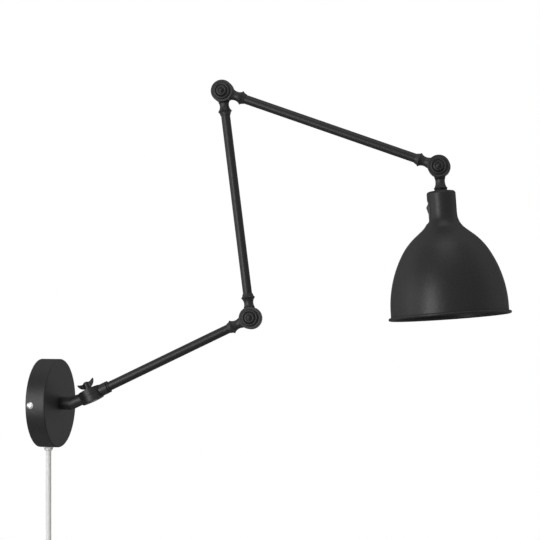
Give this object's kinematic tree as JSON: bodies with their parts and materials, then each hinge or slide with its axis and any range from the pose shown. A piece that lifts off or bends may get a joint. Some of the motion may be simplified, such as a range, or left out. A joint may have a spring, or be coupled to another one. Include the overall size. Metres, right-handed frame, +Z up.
{
  "type": "articulating wall lamp",
  "caption": "Wall lamp with a round wall plate, a bent stub, tubular arms on ringed knuckle joints, a bell shade with a rocker switch, and a mains cord with a plug.",
  "frame": {"origin": "centre of the wall bracket's back face, midway between its two screw slots, on the wall", "axes": "+Z up, +Y into the wall, so the lamp stands out along -Y; +X to the right of someone who faces the wall"},
  "size_m": [0.1931, 0.5908, 0.734],
  "materials": {
    "black_powder_coat": "matte black powder coat with a fine texture",
    "zinc_steel": "zinc-plated steel",
    "black_steel": "blackened steel",
    "bright_screw": "bright nickel-plated screw",
    "terminal_plastic": "off-white moulded plastic",
    "brass": "plain brass",
    "clear_plastic": "clear moulded plastic",
    "black_plastic": "matte black moulded plastic",
    "rocker_plastic": "smooth black moulded plastic",
    "cord_sheath": "pale grey flexible plastic",
    "wire_insulation": "brown wire insulation",
    "tie_strap": "black plastic strap",
    "plated_pin": "nickel-plated brass",
    "fibre": "vulcanised fibre",
    "aluminium_shell": "spun aluminium"
  },
  "bodies": {
    "wall_mount": {"wall_bracket": "zinc_steel", "canopy": "black_powder_coat", "canopy_screws": "bright_screw", "terminal_block": "terminal_plastic", "terminal_screws": "brass", "terminal_fixing_screw": "zinc_steel", "cord_gland": "clear_plastic", "cord_gland_nut": "clear_plastic", "cord_clamp": "black_plastic", "cord_clamp_screws": "zinc_steel", "cord_inner_end": "cord_sheath", "cord_conductors": "wire_insulation", "cord": "cord_sheath", "cord_coil": "cord_sheath", "cord_tie": "tie_strap", "plug": "cord_sheath", "plug_pins": "plated_pin", "elbow_stub": "black_powder_coat", "stub_washer": "zinc_steel", "stub_locknut": "zinc_steel", "swing_bolt": "black_steel", "swing_fibre_washer": "fibre", "swing_steel_washer": "black_steel"},
    "wing_nut": {"wing_nut": "black_powder_coat"},
    "lower_arm": {"lower_arm_base_end": "black_powder_coat", "lower_arm_tube": "black_powder_coat", "lower_arm_elbow_end": "black_powder_coat", "lower_arm_flex": "wire_insulation", "lower_elbow_bolt": "black_steel", "lower_elbow_washer": "fibre", "lower_elbow_cap_nut": "black_powder_coat"},
    "middle_arm": {"middle_arm_lower_end": "black_powder_coat", "middle_arm_tube": "black_powder_coat", "middle_arm_upper_end": "black_powder_coat", "middle_arm_flex": "wire_insulation"},
    "upper_arm": {"upper_arm_elbow_end": "black_powder_coat", "upper_arm_tube": "black_powder_coat", "upper_arm_head_end": "black_powder_coat", "upper_arm_flex": "wire_insulation", "upper_elbow_bolt": "black_steel", "upper_elbow_washer": "fibre", "upper_elbow_cap_nut": "black_powder_coat", "head_elbow_bolt": "black_steel", "head_elbow_washer": "fibre", "head_elbow_cap_nut": "black_powder_coat"},
    "lamp_head": {"shade_stem": "black_powder_coat", "shade": "black_powder_coat", "shade_nut": "zinc_steel", "lampholder_cap": "black_plastic", "lampholder_body": "black_plastic", "socket_shell": "aluminium_shell", "socket_contact": "brass"},
    "switch_rocker": {"switch_rocker": "rocker_plastic"}
  },
  "joints": [
    {"name": "base_swing", "type": "hinge", "parent": "wall_mount", "child": "lower_arm", "pos_m": [0, -0.0664, 0.0108], "axis": [0, 0.4384, 0.8988], "range_deg": [-82.5, 67.5]},
    {"name": "wing_nut_turn", "type": "hinge", "parent": "wall_mount", "child": "wing_nut", "pos_m": [0, -0.0664, 0.0108], "axis": [0, 0.4384, 0.8988], "range_deg": [0, 360]},
    {"name": "lower_elbow", "type": "hinge", "parent": "lower_arm", "child": "middle_arm", "pos_m": [0.02943, -0.26734, 0.10881], "axis": [-0.9914, -0.1173, 0.0572], "range_deg": [-131.8, 48.2]},
    {"name": "upper_elbow", "type": "hinge", "parent": "middle_arm", "child": "upper_arm", "pos_m": [0.04121, -0.22746, 0.3946], "axis": [-0.9914, -0.1173, 0.0572], "range_deg": [-5.5, 152.2]},
    {"name": "shade_tilt", "type": "hinge", "parent": "upper_arm", "child": "lamp_head", "pos_m": [0.06779, -0.49943, 0.29751], "axis": [-0.9914, -0.1173, 0.0572], "range_deg": [-56, 188]},
    {"name": "switch_rocker", "type": "hinge", "parent": "lamp_head", "child": "switch_rocker", "pos_m": [0.06353, -0.48954, 0.24404], "axis": [-0.9914, -0.1173, 0.0572], "range_deg": [0, 14]}
  ]
}
